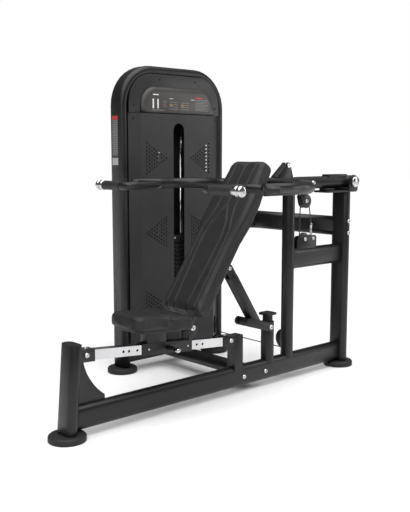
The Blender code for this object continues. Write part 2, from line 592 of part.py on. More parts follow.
def back():
    home = (HINGE[0], 0, HINGE[1])

    def flat(points, y0, y1):
        lo = [back_point(s, p, y0) for s, p in points]
        hi = [back_point(s, p, y1) for s, p in points]
        return from_rings([lo, hi])

    spine = [(0.600, -0.098), (0.600, -0.0586), (-0.030, -0.0586), (-0.052, -0.0720), (-0.072, -0.072),
             (-0.083, -0.080), (-0.086, -0.0925), (-0.083, -0.105), (-0.072, -0.1135), (-0.055, -0.1135),
             (-0.040, -0.105), (-0.030, -0.098)]
    frame = flat(spine, -0.020, 0.020)
    lug = [(0.215, -0.090), (0.302, -0.090), (0.302, -0.105), (0.276, -0.155), (0.268, -0.163), (0.258, -0.166),
           (0.248, -0.163), (0.240, -0.155), (0.215, -0.105)]
    frame = join(frame, flat(lug, -0.0095, 0.0095))
    piece("back_frame", frame, BLACK, home)

    half = [(-0.030, 0.118), (-0.026, 0.128), (-0.010, 0.133), (0.100, 0.130), (0.230, 0.127), (0.330, 0.127),
            (0.375, 0.134), (0.410, 0.140), (0.470, 0.141), (0.540, 0.140), (0.590, 0.130), (0.641, 0.120),
            (0.690, 0.115), (0.718, 0.112), (0.734, 0.100), (0.743, 0.082), (0.745, 0.050)]
    outline = half + [(s, -y) for s, y in reversed(half)]
    rings = []
    for perp, k, shift in ((-0.058, 0.955, 0.0), (-0.050, 0.992, 0.0), (-0.042, 1.0, 0.0), (-0.014, 1.0, 0.0),
                           (-0.005, 0.985, 0.0), (0.0, 0.945, 0.0)):
        rings.append([back_point(0.3575 + (s - 0.3575) * (1 - (1 - k) * 0.35), perp, y * k) for s, y in outline])
    piece("back_pad", from_rings(rings), LEATHER, home)


def strut():
    home = (STRUT[0], 0, STRUT[1])
    top = Vector(LINK)
    knee = Vector((1.030, 0.3215))
    way = (knee - top).normalized()
    side = Vector((-way.y, way.x))
    low = knee + way * 0.010

    def bar(a, b, half, y0, y1):
        corners = [a + side * half, b + side * half, b - side * half, a - side * half]
        return prism([(c.x, c.y) for c in corners], "Y", y0, y1)

    shape = bar(top + way * 0.050, low, 0.020, -0.022, 0.022)
    for y0, y1 in ((-0.0215, -0.0115), (0.0115, 0.0215)):
        angle = math.degrees(math.atan2(way.y, way.x))
        outline = arc(top.x, top.y, 0.0185, angle + 90, angle + 270, 10)
        outline += [((top + way * 0.060 - side * 0.0185).x, (top + way * 0.060 - side * 0.0185).y),
                    ((top + way * 0.060 + side * 0.0185).x, (top + way * 0.060 + side * 0.0185).y)]
        shape = join(shape, prism(outline, "Y", y0, y1))
    foot = arc(STRUT[0], STRUT[1], 0.021, -100, 80, 10)
    foot += arc(0.962, 0.330, 0.020, 80, 260, 10)
    shape = join(shape, prism(foot, "Y", -0.0400, -0.0315), prism(foot, "Y", 0.0315, 0.0400))
    block = [(0.955, 0.318), (1.040, 0.300), (1.046, 0.318), (1.000, 0.340), (0.962, 0.346)]
    shape = join(shape, prism(block, "Y", -0.0380, 0.0380))
    shape = cut(shape, rod("Y", STRUT[0], STRUT[1], 0.0078, -0.05, 0.05, 16))
    piece("back_strut", shape, BLACK, home)


feet()
floor_frame()
uprights()
connectors()
tower_shell()
tower_inside()
pulleys()
cables()
lever()
yoke_and_handles()
rail()
seat()
back()
strut()
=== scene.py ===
import json
import math

import bmesh
import bpy
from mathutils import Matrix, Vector
from mathutils.bvhtree import BVHTree


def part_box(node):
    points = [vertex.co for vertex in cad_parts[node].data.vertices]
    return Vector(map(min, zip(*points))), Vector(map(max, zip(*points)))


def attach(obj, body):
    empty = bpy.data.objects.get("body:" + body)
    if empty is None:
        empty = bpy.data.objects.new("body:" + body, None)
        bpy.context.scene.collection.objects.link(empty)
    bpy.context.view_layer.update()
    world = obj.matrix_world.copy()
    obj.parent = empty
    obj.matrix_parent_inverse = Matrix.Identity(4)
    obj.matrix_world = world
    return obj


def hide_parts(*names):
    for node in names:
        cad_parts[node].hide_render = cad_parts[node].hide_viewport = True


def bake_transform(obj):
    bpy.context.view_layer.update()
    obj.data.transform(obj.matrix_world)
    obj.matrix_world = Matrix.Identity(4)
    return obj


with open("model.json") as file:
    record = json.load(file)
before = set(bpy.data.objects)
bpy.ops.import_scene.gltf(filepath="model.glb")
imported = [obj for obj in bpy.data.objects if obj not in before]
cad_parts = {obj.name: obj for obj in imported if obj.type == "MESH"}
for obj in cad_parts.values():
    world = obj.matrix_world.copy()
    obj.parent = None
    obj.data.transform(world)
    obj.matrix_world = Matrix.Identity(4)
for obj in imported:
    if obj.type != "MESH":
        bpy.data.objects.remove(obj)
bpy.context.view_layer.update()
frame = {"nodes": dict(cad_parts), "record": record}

scene = bpy.context.scene
record = frame["record"]
middle = Vector((0.834, 0.130, 0.0))   # from the front foot on the seat line to the model's centre
bodyOfNode = {node: body for body, nodes in record["behaviour"]["bodies"].items() for node in nodes}
backTilt = math.radians(56.03)
backAlong = Vector((math.cos(backTilt), 0, math.sin(backTilt)))
backOut = Vector((-math.sin(backTilt), 0, math.cos(backTilt)))


def at(x, y, z):
    return Vector((x, y, z)) - middle


# finishes

def addNode(tree, kind, **values):
    node = tree.nodes.new(kind)
    for key, value in values.items():
        setattr(node, key, value)
    return node


def makeFinish(name, look):
    material = bpy.data.materials.new(name)
    material.use_nodes = True
    tree = material.node_tree
    shader = tree.nodes["Principled BSDF"]
    shader.inputs["Metallic"].default_value = look.get("metal", 0.0)
    shader.inputs["Specular IOR Level"].default_value = look.get("gloss", 0.5)
    shader.inputs["Sheen Weight"].default_value = look.get("sheen", 0.0)
    place = addNode(tree, "ShaderNodeTexCoord")

    def noise(scale, detail, rough):
        node = addNode(tree, "ShaderNodeTexNoise")
        node.inputs["Scale"].default_value = scale
        node.inputs["Detail"].default_value = detail
        node.inputs["Roughness"].default_value = rough
        tree.links.new(place.outputs["Object"], node.inputs["Vector"])
        return node

    cloudy = noise(look.get("cloud", 7.0), 4.0, 0.6)
    ramp = addNode(tree, "ShaderNodeValToRGB")
    ramp.color_ramp.elements[0].position = 0.36
    ramp.color_ramp.elements[1].position = 0.66
    ramp.color_ramp.elements[0].color = (*look["dark"], 1)
    ramp.color_ramp.elements[1].color = (*look["light"], 1)
    tree.links.new(cloudy.outputs["Fac"], ramp.inputs["Fac"])
    tree.links.new(ramp.outputs["Color"], shader.inputs["Base Color"])

    patchy = noise(look.get("patch", 24.0), 5.0, 0.65)
    spread = addNode(tree, "ShaderNodeMapRange")
    spread.inputs["From Min"].default_value = 0.3
    spread.inputs["From Max"].default_value = 0.7
    spread.inputs["To Min"].default_value = look["rough"][0]
    spread.inputs["To Max"].default_value = look["rough"][1]
    tree.links.new(patchy.outputs["Fac"], spread.inputs["Value"])
    tree.links.new(spread.outputs["Result"], shader.inputs["Roughness"])

    bump = addNode(tree, "ShaderNodeBump")
    bump.inputs["Strength"].default_value = look["bump"]
    bump.inputs["Distance"].default_value = look["bumpDepth"]
    if look.get("grain") == "hide":
        cells = addNode(tree, "ShaderNodeTexVoronoi", feature="DISTANCE_TO_EDGE")
        cells.inputs["Scale"].default_value = look["grainScale"]
        warp = noise(look["grainScale"] * 0.6, 2.0, 0.5)
        push = addNode(tree, "ShaderNodeVectorMath", operation="MULTIPLY_ADD")
        push.inputs[1].default_value = (0.0025, 0.0025, 0.0025)
        tree.links.new(warp.outputs["Color"], push.inputs[0])
        tree.links.new(place.outputs["Object"], push.inputs[2])
        tree.links.new(push.outputs["Vector"], cells.inputs["Vector"])
        soften = addNode(tree, "ShaderNodeMapRange")
        soften.inputs["From Max"].default_value = 0.25
        tree.links.new(cells.outputs["Distance"], soften.inputs["Value"])
        tree.links.new(soften.outputs["Result"], bump.inputs["Height"])
    elif look.get("grain") == "rings":
        wave = addNode(tree, "ShaderNodeTexWave", wave_type="BANDS", bands_direction=look["ringsAlong"])
        wave.inputs["Scale"].default_value = look["grainScale"]
        tree.links.new(place.outputs["Object"], wave.inputs["Vector"])
        tree.links.new(wave.outputs["Fac"], bump.inputs["Height"])
    else:
        fine = noise(look["grainScale"], 3.0, 0.55)
        tree.links.new(fine.outputs["Fac"], bump.inputs["Height"])
    tree.links.new(bump.outputs["Normal"], shader.inputs["Normal"])
    return material


finishes = {
    "powderCoat": dict(dark=(0.0060, 0.0060, 0.0063), light=(0.0090, 0.0090, 0.0094), rough=(0.30, 0.42), gloss=0.36,
                       bump=0.22, bumpDepth=0.0004, grainScale=520),
    "polishedChrome": dict(dark=(0.47, 0.47, 0.48), light=(0.58, 0.58, 0.59), rough=(0.08, 0.18), metal=1.0,
                           bump=0.05, bumpDepth=0.0002, grainScale=300),
    "padVinyl": dict(dark=(0.0085, 0.0085, 0.0090), light=(0.0130, 0.0130, 0.0135), rough=(0.44, 0.58), gloss=0.34,
                     sheen=0.01, grain="hide", grainScale=420, bump=0.35, bumpDepth=0.0006, cloud=11.0),
    "seamThread": dict(dark=(0.060, 0.060, 0.062), light=(0.095, 0.095, 0.098), rough=(0.55, 0.75), bump=0.3,
                       bumpDepth=0.0003, grainScale=900),
    "footRubber": dict(dark=(0.0050, 0.0050, 0.0050), light=(0.0090, 0.0090, 0.0090), rough=(0.62, 0.80), bump=0.3,
                       bumpDepth=0.0005, grainScale=260),
    "gripRubber": dict(dark=(0.0075, 0.0075, 0.0075), light=(0.0120, 0.0120, 0.0120), rough=(0.55, 0.70), grain="rings",
                       ringsAlong="Y", grainScale=75, bump=0.45, bumpDepth=0.0008),
    "coverPlastic": dict(dark=(0.0110, 0.0110, 0.0115), light=(0.0150, 0.0150, 0.0155), rough=(0.42, 0.55), bump=0.3,
                         bumpDepth=0.0003, grainScale=700),
    "headerPlastic": dict(dark=(0.0150, 0.0150, 0.0155), light=(0.0200, 0.0200, 0.0205), rough=(0.34, 0.46), bump=0.25,
                          bumpDepth=0.0003, grainScale=700),
    "placardFace": dict(dark=(0.036, 0.032, 0.030), light=(0.046, 0.041, 0.038), rough=(0.35, 0.45), bump=0.12,
                        bumpDepth=0.0002, grainScale=600),
    "pulleyNylon": dict(dark=(0.0070, 0.0070, 0.0075), light=(0.0120, 0.0120, 0.0125), rough=(0.38, 0.50), bump=0.2,
                        bumpDepth=0.0003, grainScale=350),
    "castPlate": dict(dark=(0.0120, 0.0120, 0.0130), light=(0.0190, 0.0190, 0.0200), rough=(0.45, 0.62), bump=0.5,
                      bumpDepth=0.0006, grainScale=330, metal=0.25),
    "coatedCable": dict(dark=(0.014, 0.014, 0.014), light=(0.026, 0.026, 0.026), rough=(0.35, 0.50), bump=0.3,
                        bumpDepth=0.0003, grainScale=800),
    # painted shade for hole insides: near black, on bored hole walls and on discs set in holes
    "paintedHoleShade": dict(dark=(0.003, 0.003, 0.003), light=(0.006, 0.006, 0.006), rough=(0.80, 0.90), bump=0.1,
                     bumpDepth=0.0002, grainScale=300, gloss=0.1),
    "printWhite": dict(dark=(0.62, 0.62, 0.61), light=(0.74, 0.74, 0.73), rough=(0.35, 0.45), bump=0.05,
                       bumpDepth=0.0001, grainScale=500),
    "printGrey": dict(dark=(0.16, 0.16, 0.16), light=(0.21, 0.21, 0.21), rough=(0.35, 0.45), bump=0.05,
                      bumpDepth=0.0001, grainScale=500),
    "printRed": dict(dark=(0.36, 0.020, 0.018), light=(0.46, 0.030, 0.025), rough=(0.35, 0.45), bump=0.05,
                     bumpDepth=0.0001, grainScale=500),
    "printYellow": dict(dark=(0.42, 0.26, 0.020), light=(0.52, 0.33, 0.030), rough=(0.35, 0.45), bump=0.05,
                        bumpDepth=0.0001, grainScale=500),
    "printPale": dict(dark=(0.30, 0.30, 0.30), light=(0.38, 0.38, 0.38), rough=(0.35, 0.45), bump=0.05,
                      bumpDepth=0.0001, grainScale=500),
    "printDark": dict(dark=(0.070, 0.068, 0.066), light=(0.090, 0.088, 0.086), rough=(0.35, 0.45), bump=0.05,
                      bumpDepth=0.0001, grainScale=500),
    "screwBlack": dict(dark=(0.0040, 0.0040, 0.0040), light=(0.0080, 0.0080, 0.0080), rough=(0.30, 0.42), bump=0.1,
                       bumpDepth=0.0002, grainScale=500, gloss=0.3),
    "studioFloor": dict(dark=(0.93, 0.93, 0.93), light=(0.95, 0.95, 0.95), rough=(0.55, 0.65), bump=0.02,
                        bumpDepth=0.0005, grainScale=60),
}
finish = {name: makeFinish(name, look) for name, look in finishes.items()}
print("finishes ready:", len(finish))


# mesh helpers

def toPiece(name, mesh, materialName, body, sharp=32):
    mesh.materials.clear()
    mesh.materials.append(finish[materialName])
    for polygon in mesh.polygons:
        polygon.material_index = 0
    mesh.shade_smooth()
    mesh.set_sharp_from_angle(angle=math.radians(sharp))
    piece = bpy.data.objects.new(name, mesh)
    scene.collection.objects.link(piece)
    if body:
        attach(piece, body)
    return piece


def mergedMesh(node):
    mesh = frame["nodes"][node].data.copy()
    bm = bmesh.new()
    bm.from_mesh(mesh)
    bmesh.ops.remove_doubles(bm, verts=bm.verts, dist=0.00001)
    bm.to_mesh(mesh)
    bm.free()
    return mesh


def settled(helper):
    bpy.context.view_layer.update()
    graph = bpy.context.evaluated_depsgraph_get()
    mesh = bpy.data.meshes.new_from_object(helper.evaluated_get(graph))
    bpy.data.objects.remove(helper)
    return mesh


def helperObject(name, mesh):
    helper = bpy.data.objects.new(name, mesh)
    scene.collection.objects.link(helper)
    return helper


def refine(node, materialName, bevel=0.0, sharp=32):
    helper = helperObject(node + "Work", mergedMesh(node))
    if bevel:
        dissolve = helper.modifiers.new("flatFaces", "DECIMATE")
        dissolve.decimate_type = "DISSOLVE"
        dissolve.angle_limit = math.radians(1)
        rounding = helper.modifiers.new("softEdges", "BEVEL")
        rounding.width = bevel
        rounding.segments = 2
        rounding.limit_method = "ANGLE"
        rounding.angle_limit = math.radians(38)
        rounding.use_clamp_overlap = True
    piece = toPiece(node + "Finished", settled(helper), materialName, bodyOfNode[node], sharp)
    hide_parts(node)
    return piece


def meshFrom(verts, faces):
    mesh = bpy.data.meshes.new("shape")
    mesh.from_pydata([tuple(v) for v in verts], [], faces)
    bm = bmesh.new()
    bm.from_mesh(mesh)
    bmesh.ops.remove_doubles(bm, verts=bm.verts, dist=0.00001)
    bmesh.ops.recalc_face_normals(bm, faces=bm.faces)
    if bm.calc_volume(signed=True) < 0:
        bmesh.ops.reverse_faces(bm, faces=bm.faces)
    bm.to_mesh(mesh)
    bm.free()
    return mesh


def ringsMesh(rings):
    count = len(rings[0])
    verts = [p for ring in rings for p in ring]
    faces = []
    for r in range(len(rings) - 1):
        for i in range(count):
            j = (i + 1) % count
            faces.append((r * count + i, r * count + j, (r + 1) * count + j, (r + 1) * count + i))
    faces.append(tuple(range(count))[::-1])
    faces.append(tuple(range((len(rings) - 1) * count, len(rings) * count)))
    return meshFrom(verts, faces)


def turnedMesh(centre, way, profile, segments=24):
    way = Vector(way).normalized()
    side = way.orthogonal().normalized()
    up = way.cross(side)
    rings = []
    for radius, along in profile:
        radius = max(radius, 0.00002)
        rings.append([centre + way * along + side * radius * math.cos(2 * math.pi * k / segments)
                      + up * radius * math.sin(2 * math.pi * k / segments) for k in range(segments)])
    return ringsMesh(rings)


def tubeMesh(path, radius, segments=12):
    path = [Vector(p) for p in path]
    way = (path[1] - path[0]).normalized()
    side = way.orthogonal().normalized()
    rings = []
    for i, point in enumerate(path):
        before = (point - path[i - 1]).normalized() if i else way
        after = (path[i + 1] - point).normalized() if i + 1 < len(path) else before
        way = (before + after).normalized()
        side = (side - way * side.dot(way)).normalized()
        up = way.cross(side)
        rings.append([point + side * radius * math.cos(2 * math.pi * k / segments)
                      + up * radius * math.sin(2 * math.pi * k / segments) for k in range(segments)])
    return ringsMesh(rings)


def joinMeshes(meshes):
    bm = bmesh.new()
    for mesh in meshes:
        bm.from_mesh(mesh)
    joined = bpy.data.meshes.new("joined")
    bm.to_mesh(joined)
    bm.free()
    return joined


# the tree that sets one small part on many marked points

def placingTree():
    tree = bpy.data.node_groups.new("placeOnPoints", "GeometryNodeTree")
    sockets = {}
    for name, kind in (("Geometry", "NodeSocketGeometry"), ("Part", "NodeSocketObject"),
                       ("Part Size", "NodeSocketFloat"), ("Finish", "NodeSocketMaterial")):
        sockets[name] = tree.interface.new_socket(name, in_out="INPUT", socket_type=kind)
    tree.interface.new_socket("Geometry", in_out="OUTPUT", socket_type="NodeSocketGeometry")
    start = tree.nodes.new("NodeGroupInput")
    end = tree.nodes.new("NodeGroupOutput")
    info = tree.nodes.new("GeometryNodeObjectInfo")
    heading = addNode(tree, "GeometryNodeInputNamedAttribute", data_type="FLOAT_VECTOR")
    heading.inputs["Name"].default_value = "heading"
    size = addNode(tree, "GeometryNodeInputNamedAttribute", data_type="FLOAT")
    size.inputs["Name"].default_value = "size"
    times = addNode(tree, "ShaderNodeMath", operation="MULTIPLY")
    turn = addNode(tree, "FunctionNodeAlignRotationToVector", axis="Z")
    points = tree.nodes.new("GeometryNodeInstanceOnPoints")
    real = tree.nodes.new("GeometryNodeRealizeInstances")
    paint = tree.nodes.new("GeometryNodeSetMaterial")
    link = tree.links.new
    link(start.outputs["Geometry"], points.inputs["Points"])
    link(start.outputs["Part"], info.inputs["Object"])
    link(info.outputs["Geometry"], points.inputs["Instance"])
    link(heading.outputs["Attribute"], turn.inputs["Vector"])
    link(turn.outputs["Rotation"], points.inputs["Rotation"])
    link(size.outputs["Attribute"], times.inputs[0])
    link(start.outputs["Part Size"], times.inputs[1])
    link(times.outputs["Value"], points.inputs["Scale"])
    link(points.outputs["Instances"], real.inputs["Geometry"])
    link(real.outputs["Geometry"], paint.inputs["Geometry"])
    link(start.outputs["Finish"], paint.inputs["Material"])
    link(paint.outputs["Geometry"], end.inputs["Geometry"])
    return tree, {name: socket.identifier for name, socket in sockets.items()}


placing, socketId = placingTree()


def placedMesh(partMesh, marks, partSize=1.0, materialName="polishedChrome"):
    # marks: (place, heading, size)
    mesh = bpy.data.meshes.new("marks")
    mesh.from_pydata([tuple(m[0]) for m in marks], [], [])
    mesh.attributes.new("heading", "FLOAT_VECTOR", "POINT")
    mesh.attributes.new("size", "FLOAT", "POINT")
    for i, (_, way, scale) in enumerate(marks):
        mesh.attributes["heading"].data[i].vector = tuple(way)
        mesh.attributes["size"].data[i].value = scale
    part = helperObject("smallPart", partMesh)
    helper = helperObject("marksWork", mesh)
    mod = helper.modifiers.new("place", "NODES")
    mod.node_group = placing
    mod[socketId["Part"]] = part
    mod[socketId["Part Size"]] = partSize
    mod[socketId["Finish"]] = finish[materialName]
    result = settled(helper)
    bpy.data.objects.remove(part)
    return result


# frame, arm and tower pieces taken over from the CAD with soft edges

print("frame pieces")
powderNodes = {"main_beam": 0.0010, "front_post": 0.0016, "rear_column": 0.0010, "mid_upright": 0.0008,
               "crossbar": 0.0010, "rail_rear_post": 0.0022, "strut_pedestal": 0.0008, "floor_connector": 0.0010,
               "upper_connector": 0.0, "tower_frame": 0.0, "tower_base": 0.0008, "pivot_bracket": 0.0014,
               "rod_top_bar": 0.0010, "carriage": 0.0014, "back_frame": 0.0020, "back_strut": 0.0014,
               "lever_arm": 0.0010, "lever_horn": 0.0010, "arm_pulley_hanger": 0.0006, "yoke": 0.0,
               "handle_left": 0.0, "handle_right": 0.0}
for node, bevel in powderNodes.items():
    refine(node, "powderCoat", bevel)
for node in ("foot_front", "foot_rear", "foot_tower_left", "foot_tower_right", "arm_stop_block", "upright_bumper",
             "pedestal_bumper"):
    refine(node, "footRubber", 0.0015)
for node in ("slide_rail", "adjuster_strip"):
    refine(node, "polishedChrome", 0.0, 12)
for node in ("pivot_shaft", "guide_rod_left", "guide_rod_right"):
    refine(node, "polishedChrome", 0.0, 40)
for node in ("adjuster_pin", "seat_pin", "selector_pin", "grip_end_left", "grip_end_right"):
    refine(node, "polishedChrome", 0.0, 50)
for node in ("grip_left", "grip_right"):
    refine(node, "gripRubber", 0.0, 50)
for node in ("arm_pulley", "crossbar_pulley", "lower_pulley", "exit_pulley", "top_pulley_left", "top_pulley_right"):
    refine(node, "pulleyNylon", 0.0006)
for node in ("stack_head", "stack_plates_lifted", "stack_plates_resting"):
    refine(node, "castPlate", 0.0)
refine("adjuster_housing", "headerPlastic", 0.0006)
refine("header_panel", "headerPlastic", 0.0015)
refine("tower_rear_cover", "coverPlastic", 0.0015)
refine("placard", "placardFace", 0.0, 60)
refine("cable_long", "coatedCable", 0.0, 60)


# perforated front cover

print("front cover")
coverHoles = dict(radius=0.0046, columns=9, front=0.575, faces=10)


def triangleMarks(baseX, tipX, lowZ, highZ):
    # each column towards the tip has one hole fewer, set half a step over
    marks = []
    step = (highZ - lowZ) / (coverHoles["columns"] - 1)
    across = (tipX - baseX) / (coverHoles["columns"] - 1)
    for column in range(coverHoles["columns"]):
        rows = coverHoles["columns"] - column
        for row in range(rows):
            dz = (row - (rows - 1) / 2) * step
            marks.append((at(baseX + across * column, coverHoles["front"], (lowZ + highZ) / 2 + dz), (0, 1, 0), 1.0))
    return marks


triangles = ((0.856, 0.981, 1.001, 1.151), (1.270, 1.147, 1.001, 1.151),   # base x, tip x, lowest z, highest z
             (0.978, 0.852, 0.629, 0.777), (1.150, 1.276, 0.629, 0.777),
             (0.846, 0.968, 0.250, 0.407), (1.280, 1.158, 0.250, 0.407))
holeMarks = [mark for triangle in triangles for mark in triangleMarks(*triangle)]
punch = turnedMesh(Vector((0, 0, 0)), (0, 0, 1), ((1, -2), (1, 2)), coverHoles["faces"])
punchHelper = helperObject("punches", placedMesh(punch, holeMarks, coverHoles["radius"], "paintedHoleShade"))
coverHelper = helperObject("coverWork", mergedMesh("tower_front_cover"))
mod = coverHelper.modifiers.new("perforate", "BOOLEAN")
mod.operation = "DIFFERENCE"
mod.solver = "EXACT"
mod.object = punchHelper
coverMesh = settled(coverHelper)
bpy.data.objects.remove(punchHelper)
cover = toPiece("towerFrontCover", coverMesh, "coverPlastic", "frame", 25)
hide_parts("tower_front_cover")
cover.data.materials.append(finish["paintedHoleShade"])
holePlaces = [(place.x, place.z) for place, _, _ in holeMarks]
for polygon in cover.data.polygons:   # the bored walls get the painted hole shade, darker than the cover plastic
    if abs(polygon.normal.y) < 0.3 and min(math.hypot(polygon.center.x - x, polygon.center.z - z)
                                           for x, z in holePlaces) < coverHoles["radius"] * 1.2:
        polygon.material_index = 1
print("cover holes:", len(holeMarks))


# printed marks, kept generic

def plate(x0, x1, z0, z1, y, thick=0.0004):
    ring = [(x0, z0), (x1, z0), (x1, z1), (x0, z1)]
    return ringsMesh([[at(a, y - thick, b) for a, b in ring], [at(a, y, b) for a, b in ring]])


def sidePlate(y0, y1, z0, z1, x, thick=0.0004):
    ring = [(y0, z0), (y1, z0), (y1, z1), (y0, z1)]
    return ringsMesh([[at(x - thick, a, b) for a, b in ring], [at(x, a, b) for a, b in ring]])


def bars(boxes, materialName, name, front=0.5776):
    toPiece(name, joinMeshes([plate(*box, front) for box in boxes]), materialName, "frame")


bars([(0.900, 0.936, 1.386, 1.391), (1.006, 1.030, 1.371, 1.3735), (1.150, 1.174, 1.371, 1.3735)]
     + [(0.897 + 0.030 * k, 0.906 + 0.030 * k, 1.322, 1.368) for k in range(2)], "printWhite", "placardWhite")
bars([(1.180, 1.226, 1.379, 1.386), (0.957, 0.961, 1.350, 1.352), (0.957, 0.961, 1.340, 1.342)], "printRed",
     "placardRed")
bars([(1.180, 1.270 - 0.012 * (k % 3 == 2), 1.371 - 0.0075 * k, 1.3735 - 0.0075 * k) for k in range(8)]
     + [(0.964, 0.986, 1.358 - 0.009 * k, 1.360 - 0.009 * k) for k in range(4)]
     + [(0.893, 0.972, 1.312, 1.3145)]
     + [(1.006 + 0.075 * k, 1.060 + 0.075 * k, 1.320 + 0.011 * row, 1.3225 + 0.011 * row) for k in range(2)
        for row in range(4)], "printGrey", "placardGrey")
bars([(1.008 + 0.075 * k, 1.024 + 0.075 * k, 1.338, 1.346) for k in range(2)], "printYellow", "placardYellow")

legLabel = dict(face=0.719, y0=0.6265, y1=0.6735, red=(1.262, 1.281), sheet=(1.086, 1.2615), patch=(1.043, 1.078),
                lines=19, lineStep=0.0088, margins=(0.003, 0.010, 0.006), thick=0.0004)


def legPanel(name, band, materialName):
    panel = sidePlate(legLabel["y0"], legLabel["y1"], *legLabel[band], legLabel["face"])
    toPiece(name, panel, materialName, "frame")


legPanel("legRed", "red", "printRed")
legPanel("legSheet", "sheet", "printDark")
lines = []
for k in range(legLabel["lines"]):
    drop = legLabel["sheet"][1] - legLabel["lineStep"] * k
    lines.append(sidePlate(legLabel["y0"] + legLabel["margins"][0], legLabel["y1"] - legLabel["margins"][k % 3],
                           drop - 0.0070, drop - 0.0030, legLabel["face"] - legLabel["thick"], 0.0002))
toPiece("legLines", joinMeshes(lines), "printGrey", "frame")
legPanel("legPatch", "patch", "printPale")


# bolts and screws

print("bolts")
boltShape = dict(rise=0.45, socket=0.46)
headProfile = ((0.0, 0.0), (1.0, 0.0), (1.0, 0.16), (0.93, 0.30), (0.76, boltShape["rise"]),
               (boltShape["socket"], boltShape["rise"]), (boltShape["socket"] * 0.92, 0.14), (0.0, 0.14))
bolts = {
    "frame": [(at(0.942, -0.025, 0.076), (0, -1, 0), 0.011), (at(1.086, -0.025, 0.076), (0, -1, 0), 0.011),
              (at(1.667, -0.050, 0.758), (0, -1, 0), 0.011), (at(1.667, -0.050, 0.697), (0, -1, 0), 0.011),
              (at(0.081, -0.0248, 0.3265), (0, -1, 0), 0.011), (at(0.081, 0.0248, 0.3265), (0, 1, 0), 0.011),
              (at(0.857, -0.0248, 0.2600), (0, -1, 0), 0.011), (at(0.857, 0.0248, 0.2600), (0, 1, 0), 0.011),
              (at(0.092, 0, 0.3492), (0.088, 0, 1), 0.008), (at(0.835, 0, 0.2835), (0.088, 0, 1), 0.008),
              (at(1.433, -0.0138, 0.683), (0, -1, 0), 0.009), (at(1.372, -0.0138, 0.683), (0, -1, 0), 0.010),
              (at(1.372, 0.0138, 0.683), (0, 1, 0), 0.010)],
    "strut_body": [(at(1.105, -0.040, 0.288), (0, -1, 0), 0.013), (at(1.105, 0.040, 0.288), (0, 1, 0), 0.013),
                   (at(0.850, -0.0215, 0.590), (0, -1, 0), 0.010), (at(0.850, 0.0215, 0.590), (0, 1, 0), 0.010)],
    "seat_body": [(at(0.622, -0.0283, 0.355), (0, -1, 0), 0.014), (at(0.622, 0.0283, 0.355), (0, 1, 0), 0.014),
                  (at(0.385, -0.025, 0.2990), (0, -1, 0), 0.0045), (at(0.598, -0.025, 0.2795), (0, -1, 0), 0.0045)],
    "press_arm": [(at(1.2385, -0.018, 1.042), (0, -1, 0), 0.011), (at(1.2385, 0.018, 1.042), (0, 1, 0), 0.011),
                  (at(0.687, -0.3968, 0.962), (0, 1, 0), 0.010), (at(0.687, 0.3968, 0.962), (0, -1, 0), 0.010)],
    "adjuster_body": [(at(1.378, -0.014, 0.869), (0, -1, 0), 0.010), (at(1.378, 0.014, 0.869), (0, 1, 0), 0.010)],
}
coverScrews = [
    (at(0.958, 0.5960, 1.465), (0, -1, 0), 0.0065),
    (at(1.196, 0.5960, 1.465), (0, -1, 0), 0.0065), (at(0.796, 0.5960, 1.334), (0, -1, 0), 0.0065),
    (at(1.334, 0.5960, 1.334), (0, -1, 0), 0.0065), (at(1.338, 0.5934, 1.272), (0.505, -0.863, 0), 0.006),
    (at(0.788, 0.5934, 1.272), (-0.505, -0.863, 0), 0.006),
    (at(1.338, 0.5934, 0.140), (0.505, -0.863, 0), 0.006), (at(0.788, 0.5934, 0.140), (-0.505, -0.863, 0), 0.006),
    (at(0.960, 0.7040, 1.450), (0, 1, 0), 0.0065), (at(1.166, 0.7040, 1.450), (0, 1, 0), 0.0065),
    (at(0.795, 0.7040, 1.300), (0, 1, 0), 0.0065), (at(1.331, 0.7040, 1.300), (0, 1, 0), 0.0065),
    (at(0.795, 0.7040, 0.700), (0, 1, 0), 0.0065), (at(1.331, 0.7040, 0.700), (0, 1, 0), 0.0065),
    (at(0.795, 0.7040, 0.115), (0, 1, 0), 0.0065), (at(1.331, 0.7040, 0.115), (0, 1, 0), 0.0065)]
head = turnedMesh(Vector((0, 0, 0)), (0, 0, 1), headProfile, 18)
toPiece("coverScrews", placedMesh(head, coverScrews, 0.85, "screwBlack"), "screwBlack", "frame", 40)
for body, marks in bolts.items():
    head = turnedMesh(Vector((0, 0, 0)), (0, 0, 1), headProfile, 18)
    toPiece(body + "Bolts", placedMesh(head, marks), "polishedChrome", body, 40)


# dark discs set in the lock holes as painted shade of the hole insides

railHoles = dict(places=(0.259, 0.287, 0.329, 0.488, 0.653, 0.687), side=0.0184, radius=0.0055, frontX=0.125,
                 frontZ=0.3215, fall=0.0887)
shadeDisc = turnedMesh(Vector((0, 0, 0)), (0, 0, 1), ((0, 0), (1, 0), (1, 0.10), (0, 0.10)), 14)
railPlugs = [(at(x, side * railHoles["side"], railHoles["frontZ"] - railHoles["fall"] * (x - railHoles["frontX"])),
              (0, side, 0), railHoles["radius"]) for x in railHoles["places"] for side in (-1, 1)]
toPiece("railPlugs", placedMesh(shadeDisc, railPlugs, 1.0, "paintedHoleShade"), "paintedHoleShade", "frame")


# dark discs on the selector holes as painted shade, and a label dot, on the weight stack

stackMarks = dict(x=1.063, front=0.608, step=0.0225, radius=0.006)


def stackHoleShade(name, topZ, count, body):
    hole = turnedMesh(Vector((0, 0, 0)), (0, 0, 1), ((0, 0), (1, 0), (1, 0.05), (0, 0.05)), 14)
    marks = [(at(stackMarks["x"], stackMarks["front"], topZ - stackMarks["step"] * (k + 0.5)), (0, -1, 0),
              stackMarks["radius"]) for k in range(count)]
    toPiece(name, placedMesh(hole, marks, 1.0, "paintedHoleShade"), "paintedHoleShade", body)


